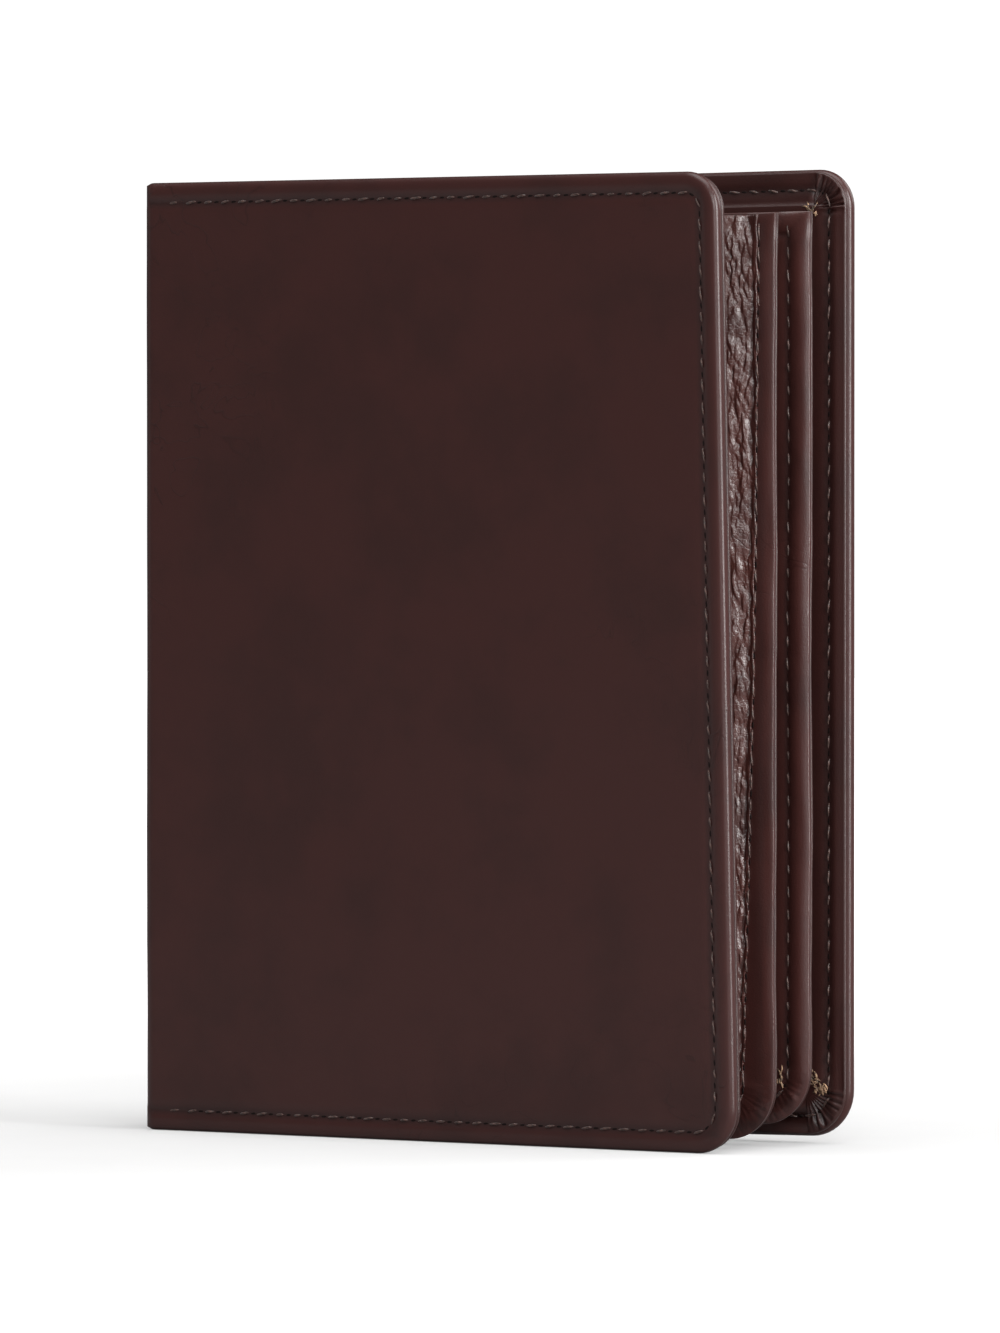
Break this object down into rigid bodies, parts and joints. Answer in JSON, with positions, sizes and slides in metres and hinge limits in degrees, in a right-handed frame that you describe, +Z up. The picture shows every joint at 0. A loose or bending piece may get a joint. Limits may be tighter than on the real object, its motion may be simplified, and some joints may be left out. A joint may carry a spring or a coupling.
{
  "type": "trifold wallet",
  "caption": "Upright leather wallet: two hinged covers and two inner leaves that fan open like a book, with card slots, a card window, note compartments and a gusseted coin pouch.",
  "frame": {"origin": "middle of the standing wallet's bounding box, on the surface it stands on", "axes": "+Z up along the spine, +X from the spine to the fore-edge, +Y out of the back cover's outer face"},
  "size_m": [0.0958, 0.0304, 0.125],
  "materials": {
    "outer_leather": "smooth polished dark brown calf",
    "inner_leather": "smooth dark brown calf, thinner",
    "soft_leather": "thin, soft, creased, glossy",
    "board": "bonded leather board",
    "lining_cloth": "fine twill",
    "thread": "waxed thread",
    "stud_metal": "aged satin",
    "clear_film": "clear soft film"
  },
  "bodies": {
    "back_cover": {"back_outer_leather": "outer_leather", "back_board": "board", "back_compartment_lining": "lining_cloth", "back_inner_panel": "inner_leather", "back_seam": "thread"},
    "spine": {"spine_outer_leather": "outer_leather", "spine_board": "board", "spine_lining": "inner_leather"},
    "front_cover": {"front_outer_leather": "outer_leather", "front_board": "board", "front_compartment_lining": "lining_cloth", "front_inner_panel": "inner_leather", "front_card_slot_1": "inner_leather", "front_card_slot_2": "inner_leather", "front_card_slot_3": "inner_leather", "front_card_slot_4": "inner_leather", "front_seam": "thread"},
    "pouch_leaf": {"pouch_leaf_hinge": "inner_leather", "pouch_leaf_board": "board", "pouch_leaf_front_leather": "outer_leather", "pouch_leaf_rear_leather": "inner_leather", "pouch_leaf_slot_1": "inner_leather", "pouch_leaf_slot_2": "inner_leather", "pouch_leaf_slot_3": "inner_leather", "pouch_leaf_seam": "thread", "pouch_lining": "lining_cloth", "pouch_gusset": "soft_leather", "pouch_front_wall": "soft_leather", "stud_cap": "stud_metal", "stud_socket": "stud_metal", "stud_knob": "stud_metal", "stud_rivet": "stud_metal"},
    "card_leaf": {"card_leaf_hinge": "inner_leather", "card_leaf_board": "board", "card_leaf_front_leather": "outer_leather", "card_leaf_rear_leather": "inner_leather", "card_leaf_slot_1": "inner_leather", "card_leaf_slot_2": "inner_leather", "card_leaf_slot_3": "inner_leather", "card_leaf_seam": "thread", "card_window": "clear_film"}
  },
  "joints": [
    {"name": "back_crease", "type": "hinge", "parent": "back_cover", "child": "spine", "pos_m": [-0.04655, 0.01471, 0.0625], "axis": [0, 0, -1], "range_deg": [-1.8, 87.5]},
    {"name": "front_crease", "type": "hinge", "parent": "spine", "child": "front_cover", "pos_m": [-0.04748, -0.00647, 0.0625], "axis": [0, 0, -1], "range_deg": [-1.8, 87.5]},
    {"name": "pouch_leaf_fold", "type": "hinge", "parent": "spine", "child": "pouch_leaf", "pos_m": [-0.04503, 0.00373, 0.0625], "axis": [0, 0, -1], "range_deg": [-0.61, 29.2]},
    {"name": "card_leaf_fold", "type": "hinge", "parent": "spine", "child": "card_leaf", "pos_m": [-0.04481, 0.00873, 0.0625], "axis": [0, 0, -1], "range_deg": [-29.2, 0.61]}
  ],
  "couplings": [
    {"joint": "front_crease", "follows": "back_crease", "ratio": 1},
    {"joint": "pouch_leaf_fold", "follows": "back_crease", "ratio": 0.33333},
    {"joint": "card_leaf_fold", "follows": "back_crease", "ratio": -0.33333}
  ]
}
